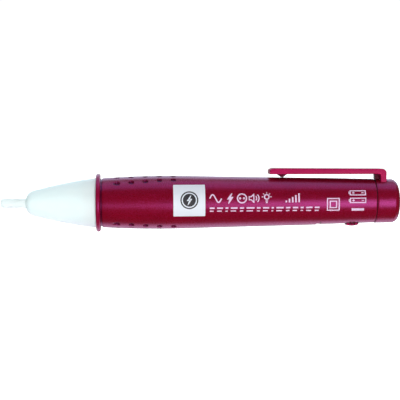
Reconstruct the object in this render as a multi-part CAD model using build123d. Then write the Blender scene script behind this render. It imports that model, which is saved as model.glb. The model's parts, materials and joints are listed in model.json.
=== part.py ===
from build123d import *
import math
import os

# Pen-shaped non contact voltage tester. Millimetres.
# X runs back along the pen from the root of the probe rod, +Z is the clip side,
# and -Z is the side with the push button.

# ---------------------------------------------------------------- driving dimensions
ROD_LENGTH = 9.7
ROD_RADIUS = 1.83
ROD_TIP_ROUND = 1.0
NOSE_SHOULDER_X = 2.8
NOSE_SHOULDER_RADIUS = 4.85
NOSE_END_X = 27.45
NOSE_END_RADIUS = 9.7
ANTENNA_RADIUS = 0.5
ANTENNA_TIP_X = -7.8

COLLAR_LENGTH = 1.75
COLLAR_RADIUS = 11.3
GROOVE_LENGTH = 0.8
GROOVE_RADIUS = 8.9

BARREL_X = NOSE_END_X + COLLAR_LENGTH + GROOVE_LENGTH
SEAM_X = 136.7
BARREL_OUTLINE = [
    (BARREL_X, 9.62),
    (40.0, 10.12),
    (53.0, 10.38),
    (69.0, 10.15),
    (85.0, 9.82),
    (114.0, 9.27),
    (SEAM_X, 8.72),
]
BARREL_BORE = 7.15
NECK_X = 23.5
NECK_RADIUS = 8.15
O_RING_X = 25.4
O_RING_SECTION = 0.34
O_RING_GROOVE_RADIUS = 7.55

DIMPLE_FIRST_X = 35.6
DIMPLE_PITCH = 5.45
DIMPLE_INNER_ANGLE = 10.5
DIMPLE_OUTER_ANGLES = [36.0, 34.0, 31.5, 28.5, 27.0]
DIMPLE_BALL = 1.35
DIMPLE_DEPTH = 0.5

END_X = 147.5
GASKET_LENGTH = 0.35
CAP_EDGE_RADIUS = 8.58
CAP_EDGE_X = END_X - 3.2
CAP_EDGE_MIDDLE = (END_X - 1.9, 7.95)
CAP_CROWN_SHOULDER = (END_X - 1.0, 6.3)
CAP_CROWN_MIDDLE = (END_X - 0.24, 3.3)
CAP_FLAT_RADIUS = 0.6
CAP_WALL = 1.8
PLUG_LENGTH = 4.9
PLUG_RADIUS = 7.05

CELL_LENGTH = 44.5
CELL_RADIUS = 5.15
CELL_SLEEVE = 0.15
CELL_NUB_RADIUS = 1.9
CELL_NUB_LENGTH = 1.0
CELL_Z = 0.8
CELL_BORE = 5.45
CELLS_END_X = 137.3
CELLS_X = CELLS_END_X - 2 * CELL_LENGTH
SPRING_WIRE = 0.35
SPRING_RADIUS = 3.3
SPRING_TURNS = 4
CONTACT_THICKNESS = 0.4

CLIP_X = 95.7
CLIP_END_X = 141.36
CLIP_WIDTH = 8.0
CLIP_TOP_FRONT = 13.15
CLIP_TOP_REAR = 12.72
CLIP_FRONT_THICKNESS = 2.33
CLIP_REAR_THICKNESS = 2.05
CLIP_LEG = 2.36
CLIP_FOOT_X = 100.4
CLIP_FOOT_HALF = 1.9
CLIP_FOOT_TIP_Z = 9.78
CLIP_PIVOT_Z = 6.9
CLIP_CLEARANCE = 0.1

PANEL_X = 115.5
PANEL_WIDTH = 9.5
PANEL_RECESS = 0.18
PANEL_INNER = 7.25
PANEL_SIDE_GAP = 0.12
PANEL_FRONT_GAP = 0.55

BUTTON_X = 128.4
BUTTON_LENGTH = 4.75
BUTTON_WIDTH = 5.2
BUTTON_CROWN_Z = -9.55
BUTTON_GAP = 0.3
BUTTON_DOME_RADIUS = 7.0
BUTTON_GROOVE_RADIUS = 0.34
FLANGE_OVERHANG = 0.7
FLANGE_PLAY = 0.15
FLANGE_TOP_Z = -6.9
FLANGE_BOTTOM_Z = -7.3
POCKET_FLOOR_Z = -7.38

STRIP_BOARD_TOP_Z = -5.05
STRIP_BOARD_BOTTOM_Z = -5.5
STRIP_BOARD_WIDTH = 5.8
STRIP_BOARD_X = 41.0
STRIP_BOARD_END_X = 131.0
PIN_X = 42.5
PIN_PITCH = 1.27
PIN_RADIUS = 0.25
TACT_SIDE = 4.2
TACT_BOTTOM_Z = -6.2
TACT_HOLE = 1.1
PLUNGER_RADIUS = 1.0

CHASSIS_RADIUS = 7.0
CHASSIS_X = 46.3
CHANNEL_Z = -5.0
RAIL_LENGTH = 14.0
RAIL_THICKNESS = 0.6
RAIL_BOTTOM_Z = -2.6
RAIL_TOP_Z = -0.6
BOARD_X = 17.0
BOARD_END_X = 45.8
BOARD_WIDTH = 12.0
BOARD_TOP_Z = -1.2
BOARD_THICKNESS = 0.8
BOARD_TONGUE_END_X = 24.0
BOARD_TONGUE_WIDTH = 8.4
TAB_TOP_Z = -0.9
TAB_WIDTH = 2.0
STRIP_Y = [3.2, 4.5]
STRIP_Z = [-5.4, -5.1]
STRIP_X = 44.2

LABEL_X = 57.3
LABEL_END_X = 69.6
LABEL_LOW_ANGLE = -30.6
LABEL_HIGH_ANGLE = 46.0
LABEL_THICKNESS = 0.12

# A level below the whole barrel, where cuts from underneath start.
UNDER_Z = -10.5


# ---------------------------------------------------------------- helpers
def rod(radius, x0, x1, y=0.0, z=0.0):
    """A round bar along X."""
    bar = Cylinder(radius, x1 - x0, align=(Align.CENTER, Align.CENTER, Align.MIN))
    return Pos(x0, y, z) * Rot(0, 90, 0) * bar


def post(radius, x, y, z0, z1):
    """A round bar along Z."""
    bar = Cylinder(radius, z1 - z0, align=(Align.CENTER, Align.CENTER, Align.MIN))
    return Pos(x, y, z0) * bar


def block(x0, x1, y0, y1, z0, z1):
    """A box given by its lowest and highest corners."""
    middle = Pos((x0 + x1) / 2, (y0 + y1) / 2, (z0 + z1) / 2)
    return middle * Box(x1 - x0, y1 - y0, z1 - z0)


def turned(*edges):
    """A solid of revolution about X from the edges of a closed half section."""
    return revolve(make_face(Curve() + list(edges)), Axis.X)


def barrel_form(offset=0.0):
    """The barrel's outer form as a full solid, grown by an offset."""
    rim = [(x, r + offset) for x, r in BARREL_OUTLINE]
    (x0, r0), (x1, r1) = rim[0], rim[-1]
    return turned(Spline(*rim), Polyline((x1, r1), (x1, 0), (x0, 0), (x0, r0)))


def barrel_radius(x):
    """The barrel's outer radius near x, along straight lines between the outline's points."""
    for (x0, r0), (x1, r1) in zip(BARREL_OUTLINE, BARREL_OUTLINE[1:]):
        if x <= x1:
            return r0 + (r1 - r0) * (x - x0) / (x1 - x0)
    return BARREL_OUTLINE[-1][1]


def side_wedge(low_angle, high_angle, x0, x1, reach=20.0):
    """A wedge about the X axis on the -Y side, between two heights given as angles."""
    low, high = math.radians(low_angle), math.radians(high_angle)
    corners = [
        (0, 0),
        (-reach * math.cos(low), reach * math.sin(low)),
        (-reach * math.cos(high), reach * math.sin(high)),
    ]
    face = Plane(origin=(x0, 0, 0), x_dir=(0, 1, 0), z_dir=(1, 0, 0)) * make_face(
        Polyline(*corners, close=True)
    )
    return extrude(face, amount=x1 - x0)


# ---------------------------------------------------------------- nose and collar
def probe_nose():
    """Translucent nose with the probe rod, hollow for the antenna and the lamp."""
    tip = -ROD_LENGTH
    outside = turned(
        Line((tip, 0), (tip, ROD_RADIUS - ROD_TIP_ROUND)),
        RadiusArc(
            (tip, ROD_RADIUS - ROD_TIP_ROUND),
            (tip + ROD_TIP_ROUND, ROD_RADIUS),
            ROD_TIP_ROUND,
        ),
        Line((tip + ROD_TIP_ROUND, ROD_RADIUS), (0, ROD_RADIUS)),
        ThreePointArc(
            (0, ROD_RADIUS), (0.85, 3.5), (NOSE_SHOULDER_X, NOSE_SHOULDER_RADIUS)
        ),
        ThreePointArc(
            (NOSE_SHOULDER_X, NOSE_SHOULDER_RADIUS),
            (15.2, 7.75),
            (NOSE_END_X, NOSE_END_RADIUS),
        ),
        Polyline((NOSE_END_X, NOSE_END_RADIUS), (NOSE_END_X, 0), (tip, 0)),
    )
    antenna_bore, cavity_x, socket_x, socket_radius = 0.7, 4.0, NECK_X - 0.2, 8.25
    cavity = turned(
        Polyline(
            (tip + 1.5, 0),
            (tip + 1.5, antenna_bore),
            (cavity_x, antenna_bore),
            (cavity_x, 3.2),
            (socket_x, 7.4),
            (socket_x, socket_radius),
            (NOSE_END_X, socket_radius),
            (NOSE_END_X, 0),
            close=True,
        )
    )
    return outside - cavity


def sensor_antenna():
    """Copper pickup rod from the probe's tip to the front edge of the board."""
    solder_x = BOARD_X + 1.2
    pin = post(ANTENNA_RADIUS, solder_x, 0, BOARD_TOP_Z, ANTENNA_RADIUS)
    return rod(ANTENNA_RADIUS, ANTENNA_TIP_X, solder_x) + pin


def collar_ring():
    """Round-edged ring that holds the nose on the barrel's neck."""
    x0, x1 = NOSE_END_X, NOSE_END_X + COLLAR_LENGTH
    inner, rim = NECK_RADIUS + 0.05, COLLAR_RADIUS - COLLAR_LENGTH / 2
    return turned(
        Polyline((x0, rim), (x0, inner), (x1, inner), (x1, rim)),
        ThreePointArc((x1, rim), ((x0 + x1) / 2, COLLAR_RADIUS), (x0, rim)),
    )


def nose_o_ring():
    """Rubber ring between the barrel's neck and the nose."""
    hoop = Torus(O_RING_GROOVE_RADIUS + O_RING_SECTION, O_RING_SECTION)
    return Pos(O_RING_X, 0, 0) * Rot(0, 90, 0) * hoop


# ---------------------------------------------------------------- barrel
def dimple_places():
    """Centre of each grip dimple's ball: two rows each side of the top and of the bottom."""
    places = []
    for column, outer_angle in enumerate(DIMPLE_OUTER_ANGLES):
        x = DIMPLE_FIRST_X + column * DIMPLE_PITCH
        out = barrel_radius(x) + DIMPLE_BALL - DIMPLE_DEPTH
        for angle in (DIMPLE_INNER_ANGLE, outer_angle):
            across = out * math.sin(math.radians(angle))
            up = out * math.cos(math.radians(angle))
            for side_y in (-1, 1):
                for side_z in (-1, 1):
                    places.append((x, side_y * across, side_z * up))
    return places


def barrel():
    """Main tube with a front neck, grip dimples and a window for the switch panel."""
    groove_x = NOSE_END_X + COLLAR_LENGTH
    shell = barrel_form() + rod(NECK_RADIUS, NECK_X, BARREL_X)
    shell += rod(GROOVE_RADIUS, groove_x, BARREL_X)
    shell -= rod(BARREL_BORE, NECK_X, SEAM_X)
    seal_half = O_RING_SECTION + 0.06
    seat = rod(NECK_RADIUS, O_RING_X - seal_half, O_RING_X + seal_half)
    seat -= rod(O_RING_GROOVE_RADIUS, O_RING_X - seal_half, O_RING_X + seal_half)
    shell -= seat
    half = PANEL_WIDTH / 2 + PANEL_SIDE_GAP
    shell -= block(PANEL_X - PANEL_FRONT_GAP, SEAM_X, -half, half, UNDER_Z, CHANNEL_Z)
    balls = [Pos(*place) * Sphere(DIMPLE_BALL) for place in dimple_places()]
    return shell - balls


def rating_label():
    """Thin square label wrapped on the near side of the barrel."""
    patch = barrel_form(LABEL_THICKNESS) - barrel_form()
    wedge = side_wedge(LABEL_LOW_ANGLE, LABEL_HIGH_ANGLE, LABEL_X, LABEL_END_X)
    return patch & wedge


# ---------------------------------------------------------------- switch
def switch_panel():
    """Curved cover of the switch bay, with a pocket and an opening for the button."""
    half = PANEL_WIDTH / 2
    shell = barrel_form(-PANEL_RECESS) - rod(PANEL_INNER, BARREL_X, SEAM_X)
    shell &= block(PANEL_X, SEAM_X - 0.05, -half, half, UNDER_Z, 0)
    reach_x = BUTTON_LENGTH / 2 + FLANGE_OVERHANG + FLANGE_PLAY
    reach_y = BUTTON_WIDTH / 2 + FLANGE_OVERHANG + FLANGE_PLAY
    shell -= block(
        BUTTON_X - reach_x, BUTTON_X + reach_x, -reach_y, reach_y, POCKET_FLOOR_Z, 0
    )
    hole_x = BUTTON_LENGTH / 2 + BUTTON_GAP
    hole_y = BUTTON_WIDTH / 2 + BUTTON_GAP
    shell -= block(BUTTON_X - hole_x, BUTTON_X + hole_x, -hole_y, hole_y, UNDER_Z, 0)
    return shell


def push_button():
    """Domed key with cross ribs and a flange that keeps it in the panel."""
    half_x, half_y = BUTTON_LENGTH / 2, BUTTON_WIDTH / 2
    key = block(
        BUTTON_X - half_x, BUTTON_X + half_x, -half_y, half_y, UNDER_Z, FLANGE_BOTTOM_Z
    )
    dome = Pos(BUTTON_X, 0, BUTTON_CROWN_Z + BUTTON_DOME_RADIUS) * Sphere(BUTTON_DOME_RADIUS)
    key &= dome
    pitch = BUTTON_LENGTH / 3
    for step in (-1, 0, 1):
        groove = Cylinder(BUTTON_GROOVE_RADIUS, 2 * BUTTON_WIDTH)
        key -= Pos(BUTTON_X + step * pitch, 0, BUTTON_CROWN_Z) * Rot(90, 0, 0) * groove
    flange = block(
        BUTTON_X - half_x - FLANGE_OVERHANG,
        BUTTON_X + half_x + FLANGE_OVERHANG,
        -half_y - FLANGE_OVERHANG,
        half_y + FLANGE_OVERHANG,
        FLANGE_BOTTOM_Z,
        FLANGE_TOP_Z,
    )
    return key + flange


def tact_plunger():
    """Stem of the small press switch, pushed by the button."""
    return post(PLUNGER_RADIUS, BUTTON_X, 0, FLANGE_TOP_Z, TACT_BOTTOM_Z + 0.1)


def tact_switch():
    """Low press switch on the strip board."""
    half = TACT_SIDE / 2
    body = block(
        BUTTON_X - half, BUTTON_X + half, -half, half, TACT_BOTTOM_Z, STRIP_BOARD_BOTTOM_Z
    )
    return body - post(TACT_HOLE, BUTTON_X, 0, TACT_BOTTOM_Z, STRIP_BOARD_BOTTOM_Z)


def strip_board():
    """Narrow board under the cells, from the main board to the switch."""
    half = STRIP_BOARD_WIDTH / 2
    return block(
        STRIP_BOARD_X, STRIP_BOARD_END_X, -half, half, STRIP_BOARD_BOTTOM_Z, STRIP_BOARD_TOP_Z
    )


def link_pins():
    """Four pins that join the strip board to the main board."""
    pins = [
        post(
            PIN_RADIUS,
            PIN_X,
            PIN_PITCH * (place - 1.5),
            STRIP_BOARD_TOP_Z,
            BOARD_TOP_Z - BOARD_THICKNESS,
        )
        for place in range(4)
    ]
    return Compound(children=pins)


# ---------------------------------------------------------------- electronics
def chassis():
    """Inner carrier: board rails, bulkhead, cell tube, and a flat underside."""
    end_x = SEAM_X - PLUG_LENGTH - 0.2
    tube = rod(CHASSIS_RADIUS, CHASSIS_X, end_x)
    tube -= rod(CELL_BORE, CELLS_X - CONTACT_THICKNESS, end_x, z=CELL_Z)
    wide, tab_play = CHASSIS_RADIUS + 1, 0.1
    tube -= block(CHASSIS_X, end_x, -wide, wide, -wide, CHANNEL_Z)
    slit = TAB_WIDTH / 2 + tab_play
    tube -= block(CHASSIS_X, CELLS_X, -slit, slit, BOARD_TOP_Z, TAB_TOP_Z + tab_play)
    rail_x = BOARD_END_X - RAIL_LENGTH
    for side in (-1, 1):
        near, far = sorted(side * (BOARD_WIDTH / 2 + out) for out in (0, RAIL_THICKNESS))
        tube += block(rail_x, CHASSIS_X + 0.5, near, far, RAIL_BOTTOM_Z, RAIL_TOP_Z)
    return tube


def main_board():
    """Circuit board behind the nose."""
    half = BOARD_WIDTH / 2
    bottom = BOARD_TOP_Z - BOARD_THICKNESS
    narrow, step_x = BOARD_TONGUE_WIDTH / 2, BOARD_TONGUE_END_X
    tongue = block(BOARD_X, step_x, -narrow, narrow, bottom, BOARD_TOP_Z)
    return tongue + block(step_x, BOARD_END_X, -half, half, bottom, BOARD_TOP_Z)


def sensor_chip():
    """Amplifier chip with its two rows of legs."""
    x0, x1, half, base = 25.5, 31.5, 1.95, BOARD_TOP_Z
    leg_pitch, leg_half, leg_reach, leg_height = 1.1, 0.2, 0.9, 0.3
    chip = block(x0, x1, -half, half, base + leg_height / 2, base + 1.5)
    for leg in range(-2, 3):
        x = (x0 + x1) / 2 + leg * leg_pitch
        reach = half + leg_reach
        chip += block(x - leg_half, x + leg_half, -reach, reach, base, base + leg_height)
    return chip


def board_row(length, width, height, places):
    """Equal small components standing on the main board."""
    pieces = [
        block(
            x - length / 2,
            x + length / 2,
            y - width / 2,
            y + width / 2,
            BOARD_TOP_Z,
            BOARD_TOP_Z + height,
        )
        for x, y in places
    ]
    return Compound(children=pieces)


def smd_resistors():
    return board_row(1.6, 0.8, 0.45, [(26.0, 4.6), (28.5, 4.6), (31.0, 4.6), (26.0, -4.6)])


def smd_capacitors():
    return board_row(2.0, 1.25, 1.0, [(29.0, -4.6), (32.2, -4.6), (20.0, -2.8)])


def drive_transistor():
    """Three-legged transistor for the buzzer and the lamp."""
    x, y, base = 20.6, 2.6, BOARD_TOP_Z
    body = block(x - 1.45, x + 1.45, y - 0.65, y + 0.65, base + 0.1, base + 1.1)
    legs = [(x - 0.95, y - 0.95), (x + 0.95, y - 0.95), (x, y + 0.95)]
    for leg_x, leg_y in legs:
        body += block(
            leg_x - 0.2, leg_x + 0.2, leg_y - 0.45, leg_y + 0.45, base, base + 0.3
        )
    return body


def buzzer():
    """Round sounder with a sound hole in its lid."""
    x, radius, height = 38.8, 4.6, 4.2
    sound_hole, hole_depth, top = 0.8, 1.0, BOARD_TOP_Z + height
    can = post(radius, x, 0, BOARD_TOP_Z, top)
    return can - post(sound_hole, x, 0, top - hole_depth, top)


def signal_led():
    """Lamp that lights the nose, lying on the board's front tongue."""
    radius, length, flange_x, flange_length, z = 1.5, 2.6, 15.8, 0.9, 2.7
    half, bend_x = PIN_RADIUS, 18.2
    lamp = rod(radius, flange_x - length, flange_x, z=z)
    lamp += Pos(flange_x - length, 0, z) * Sphere(radius)
    lamp += rod(radius + 0.3, flange_x, flange_x + flange_length, z=z)
    for y in (-PIN_PITCH, PIN_PITCH):
        lamp += block(flange_x + flange_length, bend_x, y - half, y + half, z - half, z + half)
        lamp += block(bend_x - 2 * half, bend_x, y - half, y + half, BOARD_TOP_Z, z)
    return lamp


def front_contact():
    """Positive contact against the chassis bulkhead, with a tab to the board."""
    x0, plate, half, lap = CELLS_X - CONTACT_THICKNESS, 4.6, TAB_WIDTH / 2, 2.0
    tab = block(BOARD_END_X - lap, x0 + 0.1, -half, half, BOARD_TOP_Z, TAB_TOP_Z)
    return rod(plate, x0, CELLS_X, z=CELL_Z) + tab


def return_strip():
    """Brass strip that brings the negative side back along the chassis."""
    end_x, riser = SEAM_X - PLUG_LENGTH - 0.15, 0.4
    strip = block(STRIP_X, end_x, *STRIP_Y, *STRIP_Z)
    board_z = BOARD_TOP_Z - BOARD_THICKNESS
    return strip + block(STRIP_X, STRIP_X + riser, *STRIP_Y, STRIP_Z[0], board_z)


# ---------------------------------------------------------------- cells
def cell_can(x0):
    """Steel can of one cell, with its positive nub to the front."""
    can = rod(CELL_RADIUS - CELL_SLEEVE, x0 + CELL_NUB_LENGTH, x0 + CELL_LENGTH, z=CELL_Z)
    return can + rod(CELL_NUB_RADIUS, x0, x0 + CELL_NUB_LENGTH, z=CELL_Z)


def cell_sleeve(x0):
    """Printed film round one cell."""
    bare_rim = 0.3
    start, end = x0 + CELL_NUB_LENGTH + bare_rim, x0 + CELL_LENGTH - bare_rim
    film = rod(CELL_RADIUS, start, end, z=CELL_Z)
    return film - rod(CELL_RADIUS - CELL_SLEEVE, start, end, z=CELL_Z)


# ---------------------------------------------------------------- end cap
def end_cap():
    """Crowned cap with a plug for the barrel and a seat for the clip."""
    x0, plug_x, floor_x = SEAM_X + GASKET_LENGTH, SEAM_X - PLUG_LENGTH, END_X - CAP_WALL
    rim, edge = (x0, BARREL_OUTLINE[-1][1] - 0.02), (CAP_EDGE_X, CAP_EDGE_RADIUS)
    outside = turned(
        Polyline((END_X, 0), (x0, 0), rim),
        Line(rim, edge),
        ThreePointArc(edge, CAP_EDGE_MIDDLE, CAP_CROWN_SHOULDER),
        ThreePointArc(CAP_CROWN_SHOULDER, CAP_CROWN_MIDDLE, (END_X, CAP_FLAT_RADIUS)),
        Line((END_X, CAP_FLAT_RADIUS), (END_X, 0)),
    )
    cap = outside + rod(PLUG_RADIUS, plug_x, x0)
    cap -= rod(CELL_BORE, plug_x, floor_x, z=CELL_Z)
    play, slot_top_z = 0.1, -2.0
    y0, y1, z0 = STRIP_Y[0] - play, STRIP_Y[1] + play, STRIP_Z[0] - play
    cap -= block(plug_x, floor_x, y0, y1, z0, slot_top_z)
    leg_x = CLIP_END_X - CLIP_LEG / 2
    half = CLIP_WIDTH / 2 + CLIP_CLEARANCE
    seat = Pos(leg_x, 0, CLIP_PIVOT_Z) * Rot(90, 0, 0)
    seat *= Cylinder(CLIP_LEG / 2 + CLIP_CLEARANCE, 2 * half)
    slot = block(
        CLIP_END_X - CLIP_LEG - CLIP_CLEARANCE,
        CLIP_END_X + 0.3,
        -half,
        half,
        CLIP_PIVOT_Z,
        CLIP_TOP_REAR,
    )
    return cap - seat - slot


def cap_gasket():
    """Flat rubber ring between the cap's shoulder and the barrel's end."""
    outer = BARREL_OUTLINE[-1][1] - 0.22
    ring = rod(outer, SEAM_X, SEAM_X + GASKET_LENGTH)
    return ring - rod(PLUG_RADIUS + 0.02, SEAM_X, SEAM_X + GASKET_LENGTH)


def cap_contact():
    """Contact plate in the cap, with a finger that reaches the return strip."""
    x1, root_top_z = END_X - CAP_WALL, -2.5
    x0 = x1 - CONTACT_THICKNESS
    plate = rod(CELL_BORE - 0.1, x0, x1, z=CELL_Z)
    finger = block(SEAM_X - PLUG_LENGTH, x1, *STRIP_Y, *STRIP_Z)
    root = block(x0, x1, *STRIP_Y, STRIP_Z[0], root_top_z)
    return plate + finger + root


def battery_spring():
    """Coil spring under load between the cap's contact and the last cell."""
    x0, x1 = CELLS_END_X, END_X - CAP_WALL - CONTACT_THICKNESS
    height = x1 - x0 - 2 * SPRING_WIRE
    path = Helix(pitch=height / SPRING_TURNS, height=height, radius=SPRING_RADIUS)
    section = Plane(origin=path @ 0, z_dir=path % 0) * Circle(SPRING_WIRE)
    coil = sweep(section, path=path, is_frenet=True)
    return Pos(x0 + SPRING_WIRE + 0.02, 0, CELL_Z) * Rot(0, 90, 0) * coil


# ---------------------------------------------------------------- clip
def pocket_clip():
    """Spring clip: a long bar with a wedge foot, and a leg on a round root."""
    half = CLIP_WIDTH / 2
    leg_x = CLIP_END_X - CLIP_LEG
    corner, inner_corner, front_corner = 1.75, 0.5, 1.5
    under_front = CLIP_TOP_FRONT - CLIP_FRONT_THICKNESS
    under_rear = CLIP_TOP_REAR - CLIP_REAR_THICKNESS
    side = Polyline(
        (CLIP_X, CLIP_TOP_FRONT),
        (CLIP_END_X, CLIP_TOP_REAR),
        (CLIP_END_X, CLIP_PIVOT_Z),
        (leg_x, CLIP_PIVOT_Z),
        (leg_x, under_rear),
        (CLIP_X, under_front),
        close=True,
    )
    bar_face = make_face(side)
    corners = bar_face.vertices()
    bar_face = fillet(corners.sort_by_distance((CLIP_END_X, CLIP_TOP_REAR))[0], corner)
    near_inside = bar_face.vertices().sort_by_distance((leg_x, under_rear))[0]
    bar_face = fillet(near_inside, inner_corner)
    tip_half, foot_root_z = 0.3, under_front + 0.25
    foot = make_face(
        Polyline(
            (CLIP_FOOT_X - CLIP_FOOT_HALF, foot_root_z),
            (CLIP_FOOT_X + CLIP_FOOT_HALF, foot_root_z),
            (CLIP_FOOT_X + tip_half, CLIP_FOOT_TIP_Z),
            (CLIP_FOOT_X - tip_half, CLIP_FOOT_TIP_Z),
            close=True,
        )
    )
    side_plane = Plane(origin=(0, half, 0), x_dir=(1, 0, 0), z_dir=(0, -1, 0))
    clip = extrude(side_plane * bar_face, amount=CLIP_WIDTH)
    clip += extrude(side_plane * foot, amount=CLIP_WIDTH)
    front_edges = clip.edges().filter_by(Axis.Z).sort_by(Axis.X)[:2]
    clip = fillet(front_edges, front_corner)
    root = Pos(leg_x + CLIP_LEG / 2, 0, CLIP_PIVOT_Z) * Rot(90, 0, 0)
    clip += root * Cylinder(CLIP_LEG / 2, CLIP_WIDTH)
    gusset_half, gap, lap = 3.0, 0.12, 0.2
    gusset = block(
        SEAM_X + GASKET_LENGTH + gap,
        leg_x + lap,
        -gusset_half,
        gusset_half,
        CLIP_PIVOT_Z,
        under_rear + lap,
    )
    gusset -= rod(BARREL_OUTLINE[-1][1] + gap, SEAM_X, END_X)
    return clip + gusset


# ---------------------------------------------------------------- write the nodes
NODES = {
    "probe_nose": probe_nose,
    "sensor_antenna": sensor_antenna,
    "nose_o_ring": nose_o_ring,
    "collar_ring": collar_ring,
    "barrel": barrel,
    "rating_label": rating_label,
    "chassis": chassis,
    "main_board": main_board,
    "sensor_chip": sensor_chip,
    "smd_resistors": smd_resistors,
    "smd_capacitors": smd_capacitors,
    "drive_transistor": drive_transistor,
    "buzzer": buzzer,
    "signal_led": signal_led,
    "front_contact": front_contact,
    "return_strip": return_strip,
    "strip_board": strip_board,
    "link_pins": link_pins,
    "tact_switch": tact_switch,
    "switch_panel": switch_panel,
    "push_button": push_button,
    "tact_plunger": tact_plunger,
    "end_cap": end_cap,
    "cap_gasket": cap_gasket,
    "cap_contact": cap_contact,
    "battery_spring": battery_spring,
    "pocket_clip": pocket_clip,
    "battery_front_can": lambda: cell_can(CELLS_X),
    "battery_front_sleeve": lambda: cell_sleeve(CELLS_X),
    "battery_rear_can": lambda: cell_can(CELLS_X + CELL_LENGTH),
    "battery_rear_sleeve": lambda: cell_sleeve(CELLS_X + CELL_LENGTH),
}

os.makedirs("parts", exist_ok=True)
for node, make in NODES.items():
    export_step(make(), os.path.join("parts", node + ".step"))
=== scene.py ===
import bpy
import bmesh
import json
import math
from mathutils import Matrix, Vector
from mathutils.bvhtree import BVHTree


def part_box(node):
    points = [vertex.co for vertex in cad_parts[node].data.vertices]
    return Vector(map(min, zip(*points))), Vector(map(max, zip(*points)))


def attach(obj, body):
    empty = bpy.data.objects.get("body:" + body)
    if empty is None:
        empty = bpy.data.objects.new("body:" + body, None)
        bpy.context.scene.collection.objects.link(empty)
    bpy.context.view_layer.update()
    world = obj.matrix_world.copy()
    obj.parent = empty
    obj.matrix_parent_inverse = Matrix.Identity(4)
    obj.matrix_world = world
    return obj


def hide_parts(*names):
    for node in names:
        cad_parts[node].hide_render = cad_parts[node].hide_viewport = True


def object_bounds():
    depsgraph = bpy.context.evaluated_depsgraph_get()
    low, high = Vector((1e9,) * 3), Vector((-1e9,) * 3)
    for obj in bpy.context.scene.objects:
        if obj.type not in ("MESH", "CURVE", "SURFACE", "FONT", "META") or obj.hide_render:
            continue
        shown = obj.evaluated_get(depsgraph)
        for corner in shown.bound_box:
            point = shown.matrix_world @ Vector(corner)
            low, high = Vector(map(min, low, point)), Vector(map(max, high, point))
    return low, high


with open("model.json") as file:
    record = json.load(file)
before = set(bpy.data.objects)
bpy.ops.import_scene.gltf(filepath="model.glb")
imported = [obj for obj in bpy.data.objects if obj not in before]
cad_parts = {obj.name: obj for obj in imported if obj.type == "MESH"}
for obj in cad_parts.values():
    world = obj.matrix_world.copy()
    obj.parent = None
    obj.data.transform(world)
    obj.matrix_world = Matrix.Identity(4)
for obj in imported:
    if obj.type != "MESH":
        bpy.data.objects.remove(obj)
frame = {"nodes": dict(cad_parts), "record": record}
cad_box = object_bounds()
nodes = frame["nodes"]

# The pen's lengths are in millimetres in the CAD frame, and become metres in a mesh.
# The floor and the lights are in metres from the start.
MM = 0.001
ROUND_SEGMENTS = 192
# Middle of the pen's length, where the lights aim, in metres.
MIDDLE_X = 0.068


def low(node, axis):
    """Lowest coordinate of a CAD node along an axis, in mm."""
    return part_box(node)[0]["xyz".index(axis)] / MM


def high(node, axis):
    """Highest coordinate of a CAD node along an axis, in mm."""
    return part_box(node)[1]["xyz".index(axis)] / MM


# ---------------------------------------------------------------- camera, light, floor
def add_camera():
    """A long lens a little above the pen, standing slightly towards its tip end."""
    lens, sensor, distance = 108.0, 36.0, 471.48
    aim = Vector((68.1, 0.0, 0.80))
    yaw, dip, roll = math.radians(3.1), math.radians(2.4), math.radians(-0.27)
    forward = Vector(
        (math.sin(yaw) * math.cos(dip), math.cos(yaw) * math.cos(dip), -math.sin(dip))
    )
    data = bpy.data.cameras.new("camera")
    data.sensor_width = sensor
    data.lens = lens
    data.clip_start, data.clip_end = 0.01, 20.0
    camera = bpy.data.objects.new("camera", data)
    bpy.context.scene.collection.objects.link(camera)
    turn = forward.to_track_quat("-Z", "Y").to_matrix().to_4x4()
    place = Matrix.Translation((aim - forward * distance) * MM)
    camera.matrix_world = place @ turn @ Matrix.Rotation(roll, 4, "Z")
    bpy.context.scene.camera = camera


def add_light(name, place, size, size_y, watts, colour=(1.0, 1.0, 1.0), mirrored=True,
              spreading=True):
    """A soft rectangular light aimed at the pen.

    An unmirrored one isn't seen in gloss. One that isn't spreading is seen only in gloss.
    """
    data = bpy.data.lights.new(name, "AREA")
    data.shape = "RECTANGLE"
    data.size, data.size_y = size, size_y
    data.energy, data.color = watts, colour
    light = bpy.data.objects.new(name, data)
    light.location = place
    toward = Vector((MIDDLE_X, 0.0, 0.0)) - Vector(place)
    light.rotation_euler = toward.to_track_quat("-Z", "Y").to_euler()
    light.visible_glossy = mirrored
    light.visible_diffuse = spreading
    bpy.context.scene.collection.objects.link(light)


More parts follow.
